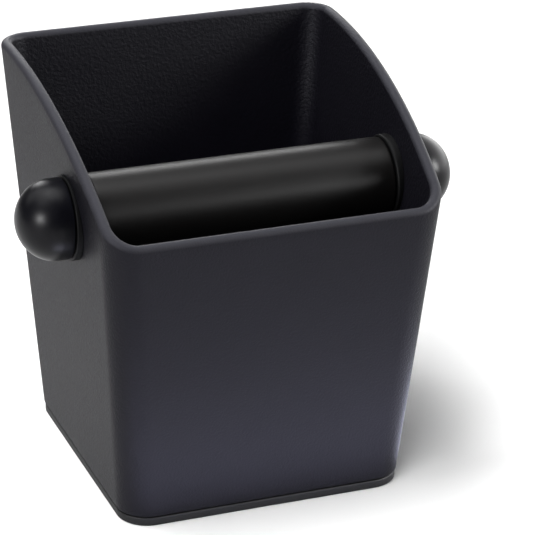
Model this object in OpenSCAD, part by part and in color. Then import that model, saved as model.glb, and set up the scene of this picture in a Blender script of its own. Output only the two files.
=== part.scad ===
// Espresso knock box: a flared bin with a high back and a low front, a
// rubber-covered knock bar across the front, and a domed knob at each end of
// the bar outside the walls. Millimetres, +Z up, front towards -Y.
// Origin: centre of the footprint's bounding box, on the surface it stands on.

/* [Bin] */
// Width of the footprint, where the wall planes meet the table
base_w = 115; // [95:1:150]
// Depth of the footprint, where the wall planes meet the table
base_d = 115; // [100:1:160]
// Height of the low front rim
front_h = 121.1; // [100:0.1:150]
// Height of the high back rim
back_h = 157.9; // [125:0.1:190]
// Outward lean of all four walls, degrees
lean = 4.57; // [2:0.1:8]
// Wall thickness; the rim is a full round of this diameter
wall = 4.4; // [3:0.1:6]
// Outside radius of the upright corners
corner_r = 12.3; // [8:0.1:20]
// How far the side rims bulge above a straight line from front to back
rim_bulge = 11.7; // [0:0.1:20]
// Height of the bin's lower edge above the table
skirt_z = 4; // [3:0.1:8]
// Height of the inside floor above the table
floor_z = 11.5; // [9:0.1:16]

/* [Base pad] */
// Thickness of the rubber pad that shows below the bin
pad_t = 3.6; // [2:0.1:6]
// Height of the ring on the pad that plugs into the skirt
plug_h = 4.2; // [2:0.1:6]

/* [Knock bar] */
// Distance of the bar's axis in front of the footprint's centre
bar_fwd = 18.0; // [10:0.1:30]
// Height of the bar's axis
bar_z = 114.8; // [90:0.1:130]
// Outside diameter of the rubber sleeve
sleeve_d = 31.6; // [26:0.1:40]
// Outside diameter of the tube under the sleeve
tube_d = 22; // [18:0.5:26]
// Wall of the tube
tube_wall = 1.5; // [1:0.1:3]
// Diameter of the steel core where it turns in the bushes
core_d = 10; // [8:0.5:14]
// Diameter of the threaded ends of the core
stud_d = 8; // [6:1:10]
// Length of each threaded end
stud_len = 13; // [8:0.5:18]

/* [Bushes and knobs] */
// Radius of the bush's outer flange
flange_r = 16.3; // [13:0.1:22]
// Radius of the thrust collar inside the wall
collar_r = 16.6; // [13:0.1:22]
// Least thickness of the wedge-shaped flange and collar
wedge_min = 0.8; // [0.5:0.1:3]
// Radius of the bush's barrel through the wall
barrel_r = 8; // [6:0.5:12]
// Knob radius
knob_r = 15.6; // [12:0.1:22]
// Straight length of the knob before its dome
knob_neck = 4; // [2:0.1:12]
// Length of the knob's dome
knob_dome = 14.6; // [8:0.1:20]
// Radius of the brass insert in the knob
insert_r = 6.5; // [5:0.5:9]

/* [Hidden] */
$fn = 96;
rho = wall / 2;
k = tan(lean);
y0 = -k * (back_h - front_h) / 2;           // footprint centre, so the box's bounds are centred
bar_y = y0 - bar_fwd;
bar_wall_x = base_w / 2 + k * bar_z;        // outer face of a side wall at the bar's axis
wall_h = wall / cos(lean);                  // wall thickness measured level
seat_x = bar_wall_x + wedge_min + flange_r * k;          // squared outer face of the bush flange
collar_x = bar_wall_x - wall_h - wedge_min - collar_r * k; // squared inner face of the thrust collar
bar_end = collar_x - 0.35;                  // end of the sleeve and plugs
shoulder_x = seat_x + 0.35;                 // end of the thick part of the core
knob_x = seat_x + 0.4;                      // open face of the knob
washer_t = 1.6;
washer_x = shoulder_x + 0.1;
insert_x = washer_x + washer_t + 0.3;
stud_end = shoulder_x + stud_len;
fit = 0.05;                                 // radial running clearance

// plan outline: [x sign, y sign, cos, sin, next x sign, next y sign, fraction to next corner]
corner_n = 7;
side_n = 11;
corners = [[1, -1, -90], [1, 1, 0], [-1, 1, 90], [-1, -1, 180]];
outline = [
    for (i = [0:3]) let (c = corners[i], d = corners[(i + 1) % 4], m = (i % 2 == 0) ? side_n : 1)
    each concat(
        [for (j = [0:corner_n]) let (a = c[2] + 90 * j / corner_n) [c[0], c[1], cos(a), sin(a), c[0], c[1], 0]],
        [for (j = [1:1:m - 1]) let (a = c[2] + 90) [c[0], c[1], cos(a), sin(a), d[0], d[1], j / m]])];
N = len(outline);
// point of the outline at height z, set in from the outer face by off
function at(u, z, off) =
    let (r = max(corner_r - off, 0.6),
         hx = base_w / 2 + k * z - off - r, hy = base_d / 2 + k * z - off - r,
         f = u[6])
    [(1 - f) * u[0] * hx + f * u[4] * hx + r * u[2],
     y0 + (1 - f) * u[1] * hy + f * u[5] * hy + r * u[3],
     z];
// rim centre line: level along the front and back, an arc along the sides
off_m = rho / cos(lean);
fy = y0 - base_d / 2 - k * front_h + off_m;
by = y0 + base_d / 2 + k * back_h - off_m;
fz = front_h - rho;
bz = back_h - rho;
chord = norm([by - fy, bz - fz]);
arc_r = (chord * chord / 4 + rim_bulge * rim_bulge) / (2 * rim_bulge);
arc_y = (fy + by) / 2 + (bz - fz) / chord * (arc_r - rim_bulge);
arc_z = (fz + bz) / 2 - (by - fy) / chord * (arc_r - rim_bulge);
function rim_z(y) = let (c = min(max(y, fy), by)) arc_z + sqrt(arc_r * arc_r - (c - arc_y) * (c - arc_y));
function settle(u, z, n) = n == 0 ? at(u, z, off_m) : settle(u, rim_z(at(u, z, off_m)[1]), n - 1);
spine = [for (u = outline) let (p = settle(u, fz, 12)) [p[0], p[1], rim_z(p[1])]];
function unit(v) = v / norm(v);
// frame on the rim centre line: outward normal of the wall and the direction over the rim
function tang(i) = unit(spine[(i + 1) % N] - spine[(i + N - 1) % N]);
function outw(i) = let (u = outline[i], t = tang(i), n = [u[2], u[3], -k * max(abs(u[2]), abs(u[3]))])
    unit(n - (n * t) * t);
rim_steps = 8;
function rim_ring(s) = [for (i = [0:N - 1]) let (n = outw(i), t = tang(i), b = cross(n, t), b1 = b[2] < 0 ? -b : b)
    spine[i] + rho * (cos(s) * n + sin(s) * b1)];
function level_ring(z, off) = [for (u = outline) at(u, z, off)];
in_off = wall_h;
bin_rings = concat(
    [level_ring(skirt_z, 0.5), level_ring(skirt_z + 0.5, 0)],
    [for (j = [0:rim_steps]) rim_ring(180 * j / rim_steps)],
    [level_ring(floor_z + 5, in_off), level_ring(floor_z + 1.5, in_off + 1.3), level_ring(floor_z, in_off + 5)]);
M = len(bin_rings);
bin_faces = concat(
    [[for (i = [0:N - 1]) i]],
    [for (j = [0:M - 2]) for (i = [0:N - 1]) let (a = j * N + i, b = j * N + (i + 1) % N) each
        [[a, a + N, b], [b, a + N, b + N]]],
    [[for (i = [N - 1:-1:0]) (M - 1) * N + i]]);

// level prism with round upright corners, for the skirt's recess and the pad
module plate(w, d, r, h) {
    linear_extrude(h) union() {
        square([w - 2 * r, d], center = true);
        square([w, d - 2 * r], center = true);
        for (sx = [-1, 1], sy = [-1, 1]) translate([sx * (w / 2 - r), sy * (d / 2 - r)]) circle(r);
    }
}
// rod along X between two distances from the middle
module xrod(r, x1, x2) {
    translate([x1, bar_y, bar_z]) rotate([0, 90, 0]) cylinder(r = r, h = x2 - x1);
}
// everything inboard of a side wall's plane, the plane set in from the outer face by off
module inboard(off) {
    translate([base_w / 2 - off, y0, 0]) rotate([0, lean, 0]) translate([-80, -100, -40]) cube([80, 200, 240]);
}
module side(s) {
    if (s > 0) children();
    else mirror([1, 0, 0]) children();
}

module bin() {
    color("#3b3b3f") difference() {
        polyhedron(points = [for (r = bin_rings) each r], faces = bin_faces, convexity = 6);
        translate([0, y0, skirt_z - 1]) plate(base_w - 2 * wall + 0.4, base_d - 2 * wall + 0.4, 8.2, 5);
        xrod(barrel_r + fit, -base_w, base_w);
    }
}
module base_pad() {
    color("#2b2b2d") difference() {
        union() {
            translate([0, y0, 0.7]) plate(base_w, base_d, corner_r, pad_t - 0.7);
            translate([0, y0, 0]) plate(base_w - 1.4, base_d - 1.4, corner_r - 0.7, 0.8);
            translate([0, y0, pad_t - 0.1]) plate(base_w - 2 * wall + 0.2, base_d - 2 * wall + 0.2, 8.1, plug_h + 0.1);
        }
        translate([0, y0, pad_t]) plate(base_w - 2 * wall - 12, base_d - 2 * wall - 12, 5, plug_h + 1);
    }
}
// bush: wedge flange that squares the knob's seat to the leaning wall, and a barrel through it
module bush(s) {
    color("#1d1d1f") side(s) difference() {
        union() {
            difference() {
                xrod(flange_r, bar_wall_x - 4, seat_x);
                inboard(0);
            }
            xrod(barrel_r, collar_x + 0.5, seat_x - 0.3);
        }
        xrod(core_d / 2 + fit, collar_x - 2, seat_x + 2);
    }
}
// collar: wedge ring pressed on the barrel, squares the bar's thrust face to the inner wall
module collar(s) {
    color("#1d1d1f") side(s) difference() {
        intersection() {
            xrod(collar_r, collar_x, bar_wall_x);
            inboard(wall_h + 0.02);
        }
        xrod(barrel_r, collar_x + 0.5, bar_wall_x);
        xrod(core_d / 2 + 0.3, collar_x - 1, collar_x + 1);
    }
}
module core() {
    color("#c3c5c8") union() {
        xrod(core_d / 2, -shoulder_x, shoulder_x);
        for (s = [-1, 1]) side(s) {
            xrod(stud_d / 2, shoulder_x - 1, stud_end - 0.8);
            xrod(stud_d / 2 - 0.6, stud_end - 1, stud_end);
        }
    }
}
module tube() {
    color("#a9acb0") difference() {
        xrod(tube_d / 2, -bar_end + 1.5, bar_end - 1.5);
        xrod(tube_d / 2 - tube_wall, -bar_end, bar_end);
    }
}
module sleeve() {
    color("#242426") difference() {
        union() {
            xrod(sleeve_d / 2, -bar_end + 0.8, bar_end - 0.8);
            xrod(sleeve_d / 2 - 0.8, -bar_end, bar_end);
        }
        xrod(tube_d / 2, -bar_end - 1, bar_end + 1);
    }
}
// plug that centres the tube on the core
module plug(s) {
    color("#1d1d1f") side(s) difference() {
        union() {
            xrod(tube_d / 2, bar_end - 1.5, bar_end);
            xrod(tube_d / 2 - tube_wall, bar_end - 12, bar_end - 1);
        }
        xrod(core_d / 2, bar_end - 13, bar_end + 1);
    }
}
module washer(s) {
    color("#c3c5c8") side(s) difference() {
        xrod(8, washer_x, washer_x + washer_t);
        xrod(stud_d / 2 + 0.2, washer_x - 1, washer_x + washer_t + 1);
    }
}
module knob(s) {
    color("#1b1b1d") side(s) difference() {
        translate([knob_x, bar_y, bar_z]) rotate([0, 90, 0]) rotate_extrude() knob_profile();
        xrod(8.4, knob_x - 1, insert_x);
        xrod(insert_r, knob_x, stud_end + 0.6);
    }
}
// half section of the knob: a lightly eased foot, a straight neck and a domed end
module knob_profile() {
    kn = 24;
    polygon(concat(
        [[0, 0], [knob_r - 0.5, 0], [knob_r, 0.5], [knob_r, knob_neck]],
        [for (j = [1:kn]) let (a = 90 * j / kn) [knob_r * cos(a), knob_neck + knob_dome * sin(a)]]));
}
module knob_insert(s) {
    color("#b5913f") side(s) difference() {
        union() {
            xrod(insert_r, insert_x, stud_end + 0.5);
        }
        xrod(stud_d / 2 + fit, insert_x - 1, stud_end + 0.2);
    }
}

bin();
base_pad();
core();  // bar_core
tube();  // bar_tube
sleeve();  // bar_sleeve
plug(-1);  // left_tube_plug
plug(1);  // right_tube_plug
bush(-1);  // left_bush
bush(1);  // right_bush
collar(-1);  // left_collar
collar(1);  // right_collar
washer(-1);  // left_washer
washer(1);  // right_washer
knob(-1);  // left_knob
knob(1);  // right_knob
knob_insert(-1);  // left_knob_insert
knob_insert(1);  // right_knob_insert
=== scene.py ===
"""Espresso knock box: the finishes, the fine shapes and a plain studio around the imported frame.

Every piece that shows is made again here as a smooth surface worked out with numpy, and rides the
frame's own bodies. The hidden pieces keep the frame's shape and get materials. Lengths are
millimetres until a mesh is made; meshes, lights and the camera are in metres.
"""

import bmesh
import bpy
import numpy as np
from mathutils import Matrix


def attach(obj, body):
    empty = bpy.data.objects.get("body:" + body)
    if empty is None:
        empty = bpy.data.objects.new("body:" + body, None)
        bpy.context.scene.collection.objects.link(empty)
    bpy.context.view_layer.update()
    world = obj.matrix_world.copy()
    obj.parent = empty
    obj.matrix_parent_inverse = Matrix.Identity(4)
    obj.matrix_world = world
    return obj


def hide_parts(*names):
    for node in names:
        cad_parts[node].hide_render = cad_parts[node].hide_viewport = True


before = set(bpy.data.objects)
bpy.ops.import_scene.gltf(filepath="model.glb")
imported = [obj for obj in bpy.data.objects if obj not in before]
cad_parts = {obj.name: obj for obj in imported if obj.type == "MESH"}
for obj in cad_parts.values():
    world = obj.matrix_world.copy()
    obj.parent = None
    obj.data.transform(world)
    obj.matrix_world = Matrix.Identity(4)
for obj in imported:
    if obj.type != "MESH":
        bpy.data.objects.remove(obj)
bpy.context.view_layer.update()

MM = 0.001                         # metres in a millimetre

# ---------------------------------------------------------------- the bin and its pad
BASE_W, BASE_D = 115.0, 115.0      # footprint where the wall planes meet the table
FRONT_H, BACK_H = 121.1, 157.9     # heights of the front and back rims
LEAN = np.tan(np.radians(4.57))    # outward lean of every wall, mm per mm of height
WALL = 4.4                         # wall thickness and rim diameter
WALL_LEVEL = WALL / np.cos(np.arctan(LEAN))     # the same wall measured level
CORNER_R = 12.3                    # outside radius of the upright corners
RIM_BULGE = 11.7                   # rise of the side rims above a straight line
RIM_DROP = 0.1                     # the round rim sits this low, to keep inside the frame's faceted one
SKIRT_Z, ROOF_Z, FLOOR_Z = 4.0, 8.0, 11.5       # skirt's underside, roof over the pad, inside floor
SKIRT_T = 4.1                      # thickness of the skirt around the recess
FOOT_R, FLOOR_R = 0.7, 5.0         # roundings of the foot and of the inside floor's edge
PAD_T, PLUG_TOP = 3.6, 7.8         # pad's thickness, and top of the ring that plugs into the skirt
PLUG_OUTER, PLUG_INNER = 4.2, 10.2 # insets of the plug ring's two faces
MID_Y = -LEAN * (BACK_H - FRONT_H) / 2          # footprint's centre

# ---------------------------------------------------------------- the bar and its ends
BAR_Y, BAR_Z = MID_Y - 18.0, 114.8              # the bar's axis
SLEEVE_R, TUBE_R, CORE_R = 15.8, 11.0, 5.0
FLANGE_R, COLLAR_R, BARREL_R = 16.3, 16.6, 8.0
FIT = 0.05                         # clearance between a bore and what it holds
WEDGE = 0.8                        # least thickness of the wedge-shaped flange and collar
WALL_X = BASE_W / 2 + LEAN * BAR_Z              # outer face of a side wall at the bar
INNER_X = WALL_X - WALL_LEVEL                   # inner face there
SEAT_X = WALL_X + WEDGE + FLANGE_R * LEAN       # upright outer face of a flange
COLLAR_X = INNER_X - WEDGE - COLLAR_R * LEAN    # upright inner face of a collar
BAR_GAP, KNOB_GAP = 0.35, 0.4      # play between collar and sleeve, and between flange and knob
BAR_END, KNOB_X = COLLAR_X - BAR_GAP, SEAT_X + KNOB_GAP
KNOB_R, KNOB_NECK, KNOB_DOME = 15.6, 4.0, 14.6
WASHER_T, STUD_LEN = 1.6, 13.0
POCKET_R, INSERT_R = 8.4, 6.5      # the knob's two bores: washer's pocket and insert's hole
SHOULDER_X = SEAT_X + BAR_GAP      # end of the core's thick part, where its stud begins
INSERT_X = SHOULDER_X + 0.1 + WASHER_T + 0.3    # end of the pocket, with play on both sides
HOLE_END = SHOULDER_X + STUD_LEN + 0.6          # blind end of the hole, clear of the stud


# ---------------------------------------------------------------- mesh making
def grid_faces(rows, cols):
    """Quads of a grid that closes on itself across its columns."""
    r, c = np.meshgrid(np.arange(rows - 1), np.arange(cols), indexing="ij")
    n = (c + 1) % cols
    return np.stack([r * cols + c, r * cols + n, (r + 1) * cols + n, (r + 1) * cols + c], -1).reshape(-1, 4)


def smooth_piece(name, points, faces):
    """Object made of points in millimetres, shaded smooth, with every face pointing outwards."""
    mesh = bpy.data.meshes.new(name)
    mesh.from_pydata((points * MM).tolist(), [], faces)
    bm = bmesh.new()
    bm.from_mesh(mesh)
    bmesh.ops.recalc_face_normals(bm, faces=bm.faces)
    bm.to_mesh(mesh)
    bm.free()
    mesh.polygons.foreach_set("use_smooth", np.ones(len(mesh.polygons), bool))
    mesh.update()
    piece = bpy.data.objects.new(name, mesh)
    bpy.context.scene.collection.objects.link(piece)
    return piece


def capped_grid(name, rings):
    """Solid from rings of points, shape (rings, around, 3): each ring is joined to the next, and
    the first and last are closed by a fan to their own mean point."""
    rows, cols = rings.shape[:2]
    points = np.concatenate([rings.reshape(-1, 3), rings[[0, -1]].mean(1)])
    c = np.arange(cols)
    n = (c + 1) % cols
    pole, base = rows * cols, (rows - 1) * cols
    low = np.stack([n, c, np.full(cols, pole)], 1)
    high = np.stack([base + c, base + n, np.full(cols, pole + 1)], 1)
    return smooth_piece(name, points, grid_faces(rows, cols).tolist() + low.tolist() + high.tolist())


def looped_grid(name, rings):
    """Ring-shaped solid from rings of points: each is joined to the next, and the last to the first."""
    rows, cols = rings.shape[:2]
    c = np.arange(cols)
    n, base = (c + 1) % cols, (rows - 1) * cols
    seam = np.stack([base + c, base + n, n, c], 1)
    return smooth_piece(name, rings.reshape(-1, 3), np.concatenate([grid_faces(rows, cols), seam]).tolist())


def revolve(section, side, tilt=0.0, around=128):
    """Rings of a section of (distance along X, radius) points turned about the bar's axis. Each
    point also moves along X by its tilt times the lean times its height above the axis, so that a
    tilt of 1 lies on the leaning wall."""
    x, r = section[:, :1], section[:, 1:]
    a = np.linspace(0, 2 * np.pi, around, endpoint=False)
    z = r * np.sin(a)
    x = x + np.broadcast_to(tilt, len(section))[:, None] * LEAN * z
    return np.stack([side * x, BAR_Y + r * np.cos(a), BAR_Z + z], -1)


def rounded_path(corners, radii, steps):
    """Polyline through corners with each corner replaced by an arc of its radius: the arc's centre
    lies on the bisector, and its ends are tangent to both legs."""
    corners = np.asarray(corners, float)
    out = [corners[0]]
    for before, corner, after, radius in zip(corners, corners[1:], corners[2:], radii[1:]):
        a, b = before - corner, after - corner
        leg_a, leg_b = np.linalg.norm(a), np.linalg.norm(b)
        a, b = a / leg_a, b / leg_b
        half = np.arccos(np.clip(a @ b, -1, 1)) / 2
        r = min(radius, 0.49 * min(leg_a, leg_b) * np.tan(half))
        if r <= 0 or half > 1.56:
            out.append(corner)
            continue
        centre = corner + (a + b) / np.linalg.norm(a + b) * r / np.sin(half)
        start = corner + a * r / np.tan(half) - centre
        end = corner + b * r / np.tan(half) - centre
        turn = np.pi - 2 * half
        t = np.linspace(0, 1, steps + 1)[:, None]
        out.extend(centre + (np.sin((1 - t) * turn) * start + np.sin(t * turn) * end) / np.sin(turn))
    out.append(corners[-1])
    return np.array(out)


def denser(path, longest):
    """Path with points added so that no step is longer than the given length."""
    parts = []
    for a, b in zip(path[:-1], path[1:]):
        n = max(1, int(np.ceil(np.linalg.norm(b - a) / longest)))
        parts.append(a + (b - a) * np.linspace(0, 1, n, endpoint=False)[:, None])
    return np.concatenate(parts + [path[-1:]])


# ---------------------------------------------------------------- the bin's plan outline and rim
def plan_outline(corner_steps, side_steps, end_steps):
    """Rounded rectangle as rows of [x sign, y sign, cos, sin, next x sign, next y sign, fraction]:
    arcs of a quarter turn, each followed by the straight run to the next corner."""
    rows = []
    corners = ((1, -1, -90, side_steps), (1, 1, 0, end_steps),
               (-1, 1, 90, side_steps), (-1, -1, 180, end_steps))
    for i, (sx, sy, start, runs) in enumerate(corners):
        nx, ny = corners[(i + 1) % 4][:2]
        a = np.radians(start + 90 * np.linspace(0, 1, corner_steps + 1))
        one = np.ones_like(a)
        rows.append(np.stack([sx * one, sy * one, np.cos(a), np.sin(a), nx * one, ny * one, 0 * one], 1))
        f = np.arange(1, runs) / runs
        one = np.ones_like(f)
        c, s = np.cos(a[-1]) * one, np.sin(a[-1]) * one
        rows.append(np.stack([sx * one, sy * one, c, s, nx * one, ny * one, f], 1))
    return np.concatenate(rows)


PLAN = plan_outline(14, 60, 30)


def wall_ring(z, inset, lean=LEAN):
    """Outline at height z, inset from the outer faces: half sizes grow by the lean times z, and
    the corner radius shrinks by the inset."""
    sx, sy, c, s, tx, ty, f = PLAN.T
    z = np.broadcast_to(z, sx.shape).astype(float)
    r = max(CORNER_R - inset, 0.6)
    hx, hy = BASE_W / 2 + lean * z - inset - r, BASE_D / 2 + lean * z - inset - r
    return np.stack([((1 - f) * sx + f * tx) * hx + r * c, MID_Y + ((1 - f) * sy + f * ty) * hy + r * s, z], 1)


def upright_rings(places):
    """Outlines without lean, one for each (height, inset)."""
    return [wall_ring(z, inset, lean=0.0) for z, inset in places]


def rim_line():
    """Centre line of the rim: level along the front and back, and along the sides the arc of a
    circle through the ends of the front and back rims that rises RIM_BULGE above their chord."""
    rho = WALL / 2
    inset = WALL_LEVEL / 2
    y = MID_Y + np.array([-BASE_D / 2 - LEAN * FRONT_H + inset, BASE_D / 2 + LEAN * BACK_H - inset])
    z = np.array([FRONT_H, BACK_H]) - rho - RIM_DROP
    rise, run = z[1] - z[0], y[1] - y[0]
    chord = np.hypot(rise, run)
    radius = (chord ** 2 / 4 + RIM_BULGE ** 2) / (2 * RIM_BULGE)
    cy = y.mean() + rise / chord * (radius - RIM_BULGE)
    cz = z.mean() - run / chord * (radius - RIM_BULGE)
    level = np.full(len(PLAN), z[0])
    # the walls lean, so a point's height moves it forward or back: repeating settles both
    for _ in range(14):
        at = np.clip(wall_ring(level, inset)[:, 1], y[0], y[1])
        level = cz + np.sqrt(radius ** 2 - (at - cy) ** 2)
    return wall_ring(level, inset)


def rim_frame(line):
    """Unit vectors along the rim: outward across the wall, and over the rim."""
    along = np.roll(line, -1, 0) - np.roll(line, 1, 0)
    along /= np.linalg.norm(along, axis=1)[:, None]
    c, s = PLAN[:, 2], PLAN[:, 3]
    out = np.stack([c, s, -LEAN * np.maximum(abs(c), abs(s))], 1)
    out -= (out * along).sum(1)[:, None] * along
    out /= np.linalg.norm(out, axis=1)[:, None]
    over = np.cross(out, along)
    return out, over * np.sign(over[:, 2])[:, None]


def quarter(steps):
    """Pairs (1 - sin, 1 - cos) of a quarter turn: how far a rounding still has to go."""
    a = np.radians(np.linspace(0, 90, steps))
    return list(zip(1 - np.sin(a), 1 - np.cos(a)))


# ---------------------------------------------------------------- the pieces' shapes
def make_bin():
    """One closed surface over (around the outline, along the section): from the middle of the roof
    over the pad, down the skirt's inside, round the foot, up the outer face, half a turn over the
    full-round rim, down the inner face and across the floor. Between foot and rim each point is
    foot + (rim - foot) * t."""
    line = rim_line()
    out, over = rim_frame(line)
    turn = np.radians(np.linspace(0, 180, 29))
    rim = line + WALL / 2 * (np.cos(turn)[:, None, None] * out + np.sin(turn)[:, None, None] * over)
    recess = [(ROOF_Z, SKIRT_T + d) for d in (40.0, 20.0, 4.0, 0.6)]
    recess += [(ROOF_Z - 0.6, SKIRT_T), (SKIRT_Z + 0.5, SKIRT_T), (SKIRT_Z, SKIRT_T - 0.5)]
    foot = [wall_ring(SKIRT_Z + FOOT_R * up, FOOT_R * across) for up, across in quarter(7)[::-1]]
    t = np.linspace(0, 1, 34)[1:-1, None, None]
    outer = foot[-1] + (rim[0] - foot[-1]) * t
    floor = [wall_ring(FLOOR_Z + FLOOR_R * up, WALL_LEVEL + FLOOR_R * across) for up, across in quarter(7)]
    inner = rim[-1] + (floor[0] - rim[-1]) * t
    middle = [wall_ring(FLOOR_Z, WALL_LEVEL + FLOOR_R + d) for d in (6.0, 16.0, 30.0)]
    rings = np.concatenate([upright_rings(recess), foot, outer, rim, inner, floor, middle])
    piece = capped_grid("bin_shell", rings)
    first = len(recess) + len(foot) + len(outer)
    polish_and_highlight, inside = np.zeros(len(rings)), np.zeros(len(rings))
    # weight over the rim, full on its crown: it makes the grain shallower there and paints a highlight into the
    # colour
    polish_and_highlight[first:first + len(rim)] = np.sin(turn) ** 0.5
    inside[first + len(rim) // 2:] = 1.0
    for key, by_ring in (("rim_polish_and_highlight", polish_and_highlight), ("inside", inside)):
        layer = piece.data.attributes.new(key, "FLOAT", "POINT")
        values = np.concatenate([np.repeat(by_ring, len(PLAN)), by_ring[[0, -1]]])
        layer.data.foreach_set("value", values.astype(np.float32))
    return piece


def bore(piece, radius):
    """Cuts a round hole along the bar's axis through a piece."""
    bpy.ops.mesh.primitive_cylinder_add(vertices=96, radius=radius * MM, depth=0.2,
                                        location=(0, BAR_Y * MM, BAR_Z * MM), rotation=(0, np.pi / 2, 0))
    cutter = bpy.context.object
    cut = piece.modifiers.new("bar_hole", "BOOLEAN")
    cut.operation, cut.solver, cut.object = "DIFFERENCE", "EXACT", cutter
    bpy.context.view_layer.objects.active = piece
    bpy.ops.object.modifier_apply(modifier=cut.name)
    bpy.data.objects.remove(cutter)


def make_pad():
    """Rubber pad over (around the outline, along the section): flat underside, quarter-round
    edges, and a raised ring that plugs into the skirt."""
    low, high = 0.9, 0.6
    places = [(0.0, d) for d in (50.0, 25.0, 8.0)]
    places += [(low * up, low * across) for up, across in quarter(7)[::-1]]
    places += [(PAD_T - high * up, high * across) for up, across in quarter(7)]
    places += [(PAD_T, 2.5), (PAD_T, 4.0), (PAD_T + 0.2, PLUG_OUTER)]
    places += [(PLUG_TOP - 0.5, PLUG_OUTER), (PLUG_TOP, PLUG_OUTER + 0.5), (PLUG_TOP, PLUG_INNER - 0.6)]
    places += [(PLUG_TOP - 0.5, PLUG_INNER), (PAD_T + 0.3, PLUG_INNER + 0.1), (PAD_T, PLUG_INNER + 0.6)]
    places += [(PAD_T, 30.0), (PAD_T, 50.0)]
    return capped_grid("base_pad_rubber", np.array(upright_rings(places)))


def make_sleeve():
    """Rubber sleeve: a tube with rounded ends; the section runs round it and meets itself."""
    corners = [(0, TUBE_R), (BAR_END, TUBE_R), (BAR_END, SLEEVE_R), (-BAR_END, SLEEVE_R), (-BAR_END, TUBE_R)]
    section = denser(rounded_path(corners + corners[:1], [0, 0.3, 1.1, 1.1, 0.3, 0], 8), 4.0)
    return looped_grid("bar_sleeve_rubber", revolve(section[:-1], 1.0))


def make_knob(name, side):
    """Knob: a quarter ellipse for the dome, a straight neck, an eased foot, and inside it the
    washer's pocket and the insert's hole."""
    a = np.linspace(0.012, np.pi / 2, 40)
    dome = np.stack([KNOB_X + KNOB_NECK + KNOB_DOME * np.cos(a), KNOB_R * np.sin(a)], 1)
    corners = [(KNOB_X + KNOB_NECK, KNOB_R), (KNOB_X, KNOB_R), (KNOB_X, POCKET_R), (INSERT_X, POCKET_R)]
    corners += [(INSERT_X, INSERT_R), (HOLE_END, INSERT_R), (HOLE_END, 0.2)]
    rest = denser(rounded_path(corners, [0, 0.55, 0.4, 0.1, 0.1, 0.1, 0], 6), 2.0)
    return capped_grid(name, revolve(np.concatenate([dome, rest[1:]]), side))


def make_flange(name, side):
    """Bush: a barrel through the wall and a flange whose inner face lies on the leaning wall."""
    barrel_end, hole_r = COLLAR_X + 0.5, CORE_R + FIT
    corners = [(WALL_X, BARREL_R), (WALL_X, FLANGE_R), (SEAT_X, FLANGE_R), (SEAT_X, hole_r)]
    corners += [(barrel_end, hole_r), (barrel_end, BARREL_R), (WALL_X - 0.5, BARREL_R), (WALL_X, BARREL_R)]
    section = denser(rounded_path(corners, [0, 0.25, 0.35, 0.3, 0.2, 0.3, 0, 0], 5), 2.0)[:-1]
    on_flange = section[:, 1] > BARREL_R + 0.01
    tilt = np.clip((SEAT_X - section[:, 0]) / (SEAT_X - WALL_X), 0, 1) * on_flange
    return looped_grid(name, revolve(section, side, tilt))


def make_collar(name, side):
    """Thrust collar: a ring whose outer face lies on the leaning inner wall."""
    corners = [(INNER_X, BARREL_R), (COLLAR_X, BARREL_R), (COLLAR_X, COLLAR_R), (INNER_X, COLLAR_R)]
    section = denser(rounded_path(corners + corners[:1], [0, 0.3, 0.8, 0.15, 0], 6), 2.0)[:-1]
    tilt = np.clip((section[:, 0] - COLLAR_X) / (INNER_X - COLLAR_X), 0, 1)
    return looped_grid(name, revolve(section, side, tilt))


# ---------------------------------------------------------------- colours and nodes
def linear(hex_colour):
    """sRGB hex to linear RGBA."""
    v = np.array([int(hex_colour[i:i + 2], 16) for i in (1, 3, 5)]) / 255
    v = np.where(v <= 0.04045, v / 12.92, ((v + 0.055) / 1.055) ** 2.4)
    return (*v.tolist(), 1.0)


def add(tree, kind, wires=None, **settings):
    """Adds a node, sets its properties, then sets or links each named or numbered input."""
    made = tree.nodes.new(kind)
    for key, value in settings.items():
        setattr(made, key, value)
    for key, value in (wires or {}).items():
        socket = made.inputs[key]
        if isinstance(value, bpy.types.NodeSocket):
            tree.links.new(value, socket)
        else:
            socket.default_value = value
    return made


def new_material(name):
    """Material with an empty node tree."""
    material = bpy.data.materials.new(name)
    material.use_nodes = True
    material.node_tree.nodes.clear()
    return material, material.node_tree


NOISE_SPAN = {"From Min": 0.3, "From Max": 0.7}     # where most values of a noise lie
PER_METRE = 1000.0                 # a noise scale is this divided by the lump size in mm


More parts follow.
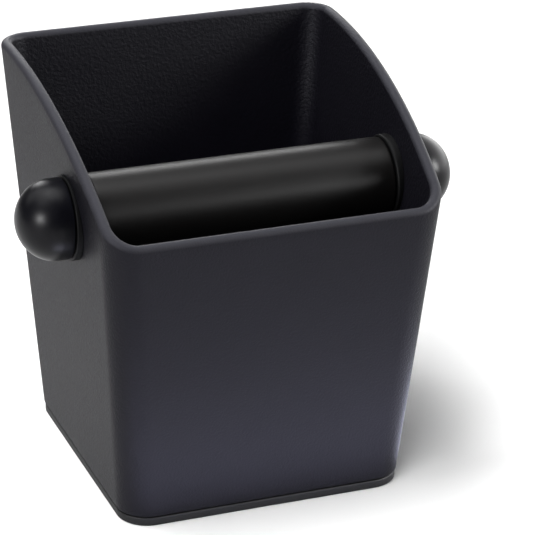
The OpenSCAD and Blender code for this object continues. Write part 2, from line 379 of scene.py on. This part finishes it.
def abs_moulded():
    """ABS, injection moulded against a spark-eroded tool: charcoal and matt, with an even grain
    that sparkles faintly in raking light. The rim, smoothed by handling, has a shallower grain, and
    its paler colour is a painted highlight. The real grain is about 0.2 mm, too fine to show, so it
    is drawn at 0.8 mm outside and 1.3 mm inside. A slow drift of colour over 14 mm keeps the walls
    from looking painted."""
    material, tree = new_material("abs_spark_eroded_charcoal")
    where = add(tree, "ShaderNodeTexCoord").outputs["Object"]
    fine, coarse, drift = [
        add(tree, "ShaderNodeTexNoise", {"Vector": where, "Scale": PER_METRE / size, "Detail": detail,
                                         "Roughness": 0.55}).outputs["Fac"]
        for size, detail in ((0.8, 2.0), (1.3, 2.0), (14.0, 3.0))]
    polish_and_highlight, inside = [add(tree, "ShaderNodeAttribute", attribute_name=key).outputs["Fac"]
                      for key in ("rim_polish_and_highlight", "inside")]
    shade = add(tree, "ShaderNodeMapRange", {"Value": drift, **NOISE_SPAN}).outputs["Result"]
    walls = add(tree, "ShaderNodeMix", {0: shade, 6: linear("#0b0a10"), 7: linear("#0d0c12")},
                data_type="RGBA").outputs[2]
    # the paler rim colour is a painted highlight, strongest along the top of the rim
    colour = add(tree, "ShaderNodeMix", {0: polish_and_highlight, 6: walls, 7: linear("#2b2b30")},
                 data_type="RGBA").outputs[2]
    rough = add(tree, "ShaderNodeMapRange", {"Value": fine, **NOISE_SPAN, "To Min": 0.5, "To Max": 0.57})
    grain = add(tree, "ShaderNodeMix", {0: inside, 2: fine, 3: coarse}, data_type="FLOAT").outputs[0]
    depth = add(tree, "ShaderNodeMapRange", {"Value": polish_and_highlight, "To Min": 0.45, "To Max": 0.16})
    bump = add(tree, "ShaderNodeBump", {"Strength": depth.outputs["Result"], "Distance": 0.6 * MM,
                                        "Height": grain})
    bsdf = add(tree, "ShaderNodeBsdfPrincipled", {
        "Base Color": colour, "Roughness": rough.outputs["Result"], "Normal": bump.outputs["Normal"],
        "IOR": 1.5, "Specular IOR Level": 0.102, "Specular Tint": (0.92, 0.92, 1.0, 1.0)})
    add(tree, "ShaderNodeOutputMaterial", {"Surface": bsdf.outputs["BSDF"]})
    return material


def plain_finish(name, colours, rough, lump_mm, bump, gloss):
    """Material with one finish: two close colours that drift over 9 mm, and a roughness and a low
    bump that follow lumps of the given size. gloss holds the shader's constant sockets."""
    material, tree = new_material(name)
    where = add(tree, "ShaderNodeTexCoord").outputs["Object"]
    lumps, drift = [
        add(tree, "ShaderNodeTexNoise", {"Vector": where, "Scale": PER_METRE / size, "Detail": detail,
                                         "Roughness": 0.55}).outputs["Fac"]
        for size, detail in ((lump_mm, 3.0), (9.0, 2.0))]
    shade = add(tree, "ShaderNodeMapRange", {"Value": drift, **NOISE_SPAN}).outputs["Result"]
    colour = add(tree, "ShaderNodeMix", {0: shade, 6: linear(colours[0]), 7: linear(colours[1])},
                 data_type="RGBA").outputs[2]
    matt = add(tree, "ShaderNodeMapRange", {"Value": lumps, **NOISE_SPAN,
                                            "To Min": rough[0], "To Max": rough[1]})
    relief = add(tree, "ShaderNodeBump", {"Strength": bump, "Distance": 0.2 * MM, "Height": lumps})
    bsdf = add(tree, "ShaderNodeBsdfPrincipled", {
        "Base Color": colour, "Roughness": matt.outputs["Result"], "Normal": relief.outputs["Normal"], **gloss})
    add(tree, "ShaderNodeOutputMaterial", {"Surface": bsdf.outputs["BSDF"]})
    return material


# Lump sizes in mm are drawn coarser than the real 0.1 to 0.3 mm, which is too fine to show.
METAL = {"Metallic": 1.0}
BIN_ABS = abs_moulded()
# EPDM rubber, compression moulded: dull black with a dry tooth
PAD_RUBBER = plain_finish("epdm_moulded_pad", ("#0e0e10", "#111113"), (0.5, 0.6), 0.8, 0.2,
                          {"IOR": 1.5, "Specular IOR Level": 0.2})
# EPDM rubber, extruded and slid on wet: warm black, satin, broad soft highlights
SLEEVE_RUBBER = plain_finish("epdm_extruded_sleeve", ("#0a0909", "#0c0b0b"), (0.37, 0.43), 1.2, 0.15,
                             {"IOR": 1.5, "Specular IOR Level": 0.15})
# PA6, moulded in a lightly polished tool: smooth black with a small soft highlight
KNOB_PLASTIC = plain_finish("pa6_moulded_knob", ("#06060a", "#08080c"), (0.33, 0.37), 1.2, 0.06,
                            {"IOR": 1.53, "Specular IOR Level": 0.1})
# Acetal, turned from bar: dull black that hides in the shadow between wall and knob
BUSH_PLASTIC = plain_finish("acetal_turned_bush", ("#060607", "#080809"), (0.55, 0.62), 0.8, 0.05,
                            {"IOR": 1.48, "Specular IOR Level": 0.1})
# Hidden metal parts: turned, drawn and stamped, with the shine each of these leaves
CORE_STEEL = plain_finish("stainless_turned_core", ("#c2c4c6", "#cccdcf"), (0.2, 0.3), 0.5, 0.05, METAL)
TUBE_ALU = plain_finish("aluminium_drawn_tube", ("#b4b6b9", "#bdbfc2"), (0.3, 0.4), 0.8, 0.05, METAL)
WASHER_STEEL = plain_finish("stainless_stamped_washer", ("#bdbfc1", "#c8c9cb"), (0.25, 0.35), 0.4, 0.05, METAL)
INSERT_BRASS = plain_finish("brass_turned_insert", ("#c29a4e", "#cca65b"), (0.2, 0.3), 0.4, 0.05, METAL)


# ---------------------------------------------------------------- pieces on the frame
def dress(piece, material):
    """Gives a piece its one material."""
    piece.data.materials.clear()
    piece.data.materials.append(material)


def place(piece, body, slot, material, *nodes):
    """Rides a new piece on its body in place of the frame's nodes."""
    dress(piece, material)
    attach(piece, body)
    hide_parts(*nodes)


def dress_node(node, material):
    """Gives a node of the frame, which keeps its shape, its material."""
    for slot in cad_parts[node].material_slots:
        slot.material = material


shell = make_bin()
bore(shell, BARREL_R + FIT)
place(shell, "box", "bin_plastic", BIN_ABS, "bin")
place(make_pad(), "box", "pad_rubber", PAD_RUBBER, "base_pad")
place(make_sleeve(), "bar", "sleeve_rubber", SLEEVE_RUBBER, "bar_sleeve")
dress_node("bar_core", CORE_STEEL)
dress_node("bar_tube", TUBE_ALU)
for word, side in (("left", -1.0), ("right", 1.0)):
    knob = make_knob(f"{word}_knob_domed", side)
    bush = make_flange(f"{word}_bush_flanged", side)
    collar = make_collar(f"{word}_thrust_collar", side)
    place(knob, f"{word}_end_knob", "knob_plastic", KNOB_PLASTIC, f"{word}_knob")
    place(bush, "box", "bush_plastic", BUSH_PLASTIC, f"{word}_bush")
    place(collar, "box", "bush_plastic", BUSH_PLASTIC, f"{word}_collar")
    dress_node(f"{word}_tube_plug", BUSH_PLASTIC)
    dress_node(f"{word}_washer", WASHER_STEEL)
    dress_node(f"{word}_knob_insert", INSERT_BRASS)


# ---------------------------------------------------------------- studio
def direction(azimuth, elevation):
    """Unit vector from an azimuth, turned from X towards Y, and an elevation, both in degrees."""
    a, e = np.radians([azimuth, elevation])
    return np.array([np.cos(a) * np.cos(e), np.sin(a) * np.cos(e), np.sin(e)])


def stand(name, data, right, up, back, at):
    """Object for a light or camera that looks along -back, with its sides and place given."""
    piece = bpy.data.objects.new(name, data)
    piece.matrix_world = Matrix([[right[i], up[i], back[i], at[i]] for i in range(3)] + [[0, 0, 0, 1]])
    bpy.context.scene.collection.objects.link(piece)
    return piece


def make_floor():
    """Plain white table, a flat square much wider than the view."""
    mesh = bpy.data.meshes.new("studio_floor")
    half = 3.0
    corners = [(-half, -half, 0), (half, -half, 0), (half, half, 0), (-half, half, 0)]
    mesh.from_pydata(corners, [], [(0, 1, 2, 3)])
    floor = bpy.data.objects.new("studio_floor", mesh)
    bpy.context.scene.collection.objects.link(floor)
    material, tree = new_material("white_table")
    bsdf = add(tree, "ShaderNodeBsdfPrincipled", {"Base Color": linear("#f9f9f9"), "Roughness": 0.8})
    add(tree, "ShaderNodeOutputMaterial", {"Surface": bsdf.outputs["BSDF"]})
    dress(floor, material)


def make_camera():
    """Long lens from the left and above, with a slight roll."""
    at = np.array([-0.36112, -0.95897, 0.54106])
    azimuth, roll = -21.705, np.radians(1.312)
    back = direction(azimuth - 90.0, 24.383)
    level = direction(azimuth, 0.0)
    upright = np.cross(back, level)
    right = np.cos(roll) * level + np.sin(roll) * upright
    up = -np.sin(roll) * level + np.cos(roll) * upright
    lens = bpy.data.cameras.new("studio_camera")
    lens.lens, lens.sensor_width, lens.clip_start, lens.clip_end = 192.58, 36.0, 0.05, 20.0
    bpy.context.scene.camera = stand("studio_camera", lens, right, up, back, at)


def make_world():
    """Dark room: all the light comes from the boxes."""
    world = bpy.data.worlds.new("studio_air")
    world.use_nodes = True
    tree = world.node_tree
    tree.nodes.clear()
    air = add(tree, "ShaderNodeBackground", {"Strength": 0.0})
    add(tree, "ShaderNodeOutputWorld", {"Surface": air.outputs[0]})
    bpy.context.scene.world = world


def softbox(name, at, towards, size, power, colour="#ffffff"):
    """Rectangular area light at a point, facing another."""
    lamp = bpy.data.lights.new(name, "AREA")
    lamp.shape, lamp.size, lamp.size_y, lamp.energy = "RECTANGLE", size[0], size[1], power
    lamp.color = linear(colour)[:3]
    back = np.array(at) - towards
    back /= np.linalg.norm(back)
    right = np.cross((0, 0, 1), back)
    right /= np.linalg.norm(right)
    return stand(name, lamp, right, np.cross(back, right), back, at)


LIGHT_AWAY, LIGHT_AIM = 1.5, np.array([0.0, 0.0, 0.08])

# Two kinds of softbox stand round the object, as with flagged lights: some light only matt
# surfaces, which gives the white table and its shadow, and the others show only as reflections.
# Each has its azimuth and elevation in degrees, its width and height, and its watts.
MATT_LIGHTS = (
    ("floor_top", 160.0, 76.5, 0.9, 0.6, 24.5),
    ("floor_left", 158.0, 66.0, 0.8, 0.8, 5.0),
    ("floor_right", -22.0, 25.0, 1.9, 0.8, 5.0),
    ("floor_front", -130.0, 46.0, 0.7, 0.7, 15.5),
)
GLOSS_LIGHTS = (
    ("strip_right", -30.0, 22.5, 0.3, 0.48, 42.0),
    ("strip_left", 206.0, 17.5, 0.42, 0.34, 29.0),
    ("cap_top", 100.0, 82.0, 0.9, 0.9, 13.0),
    ("low_right", 24.0, 8.0, 1.9, 0.8, 26.0),
    ("low_back", 80.0, 22.0, 0.9, 0.6, 14.0),
    ("low_front", -56.0, 15.0, 0.5, 0.35, 9.0),
    ("mid_right", 20.0, 35.0, 1.3, 0.7, 9.0),
    ("mid_back_left", 135.0, 35.0, 0.7, 0.7, 3.0),
    ("high_left", 150.0, 62.0, 1.5, 0.8, 13.0),
    ("high_right", -10.0, 62.0, 0.9, 0.7, 6.0),
)

make_floor()
make_camera()
make_world()
for lights, matt in ((MATT_LIGHTS, True), (GLOSS_LIGHTS, False)):
    for name, azimuth, elevation, width, height, power in lights:
        at = LIGHT_AIM + LIGHT_AWAY * direction(azimuth, elevation)
        box = softbox(name, at, LIGHT_AIM, (width, height), power)
        box.visible_diffuse, box.visible_glossy = matt, not matt

# Two small pale cards lie at the foot, facing up: they show only as a sheen low on the walls.
CARD_COLOUR = "#e2e4ff"
front = softbox("front_card", (0.03, -0.086, 0.002), (0.03, -0.07, 0.1), (0.26, 0.044), 0.28, CARD_COLOUR)
beside = softbox("side_card", (0.09, -0.032, 0.002), (0.08, -0.032, 0.1), (0.05, 0.07), 0.062, CARD_COLOUR)
for card in (front, beside):
    card.visible_diffuse = card.visible_camera = False

bpy.context.scene.view_settings.view_transform = "Standard"
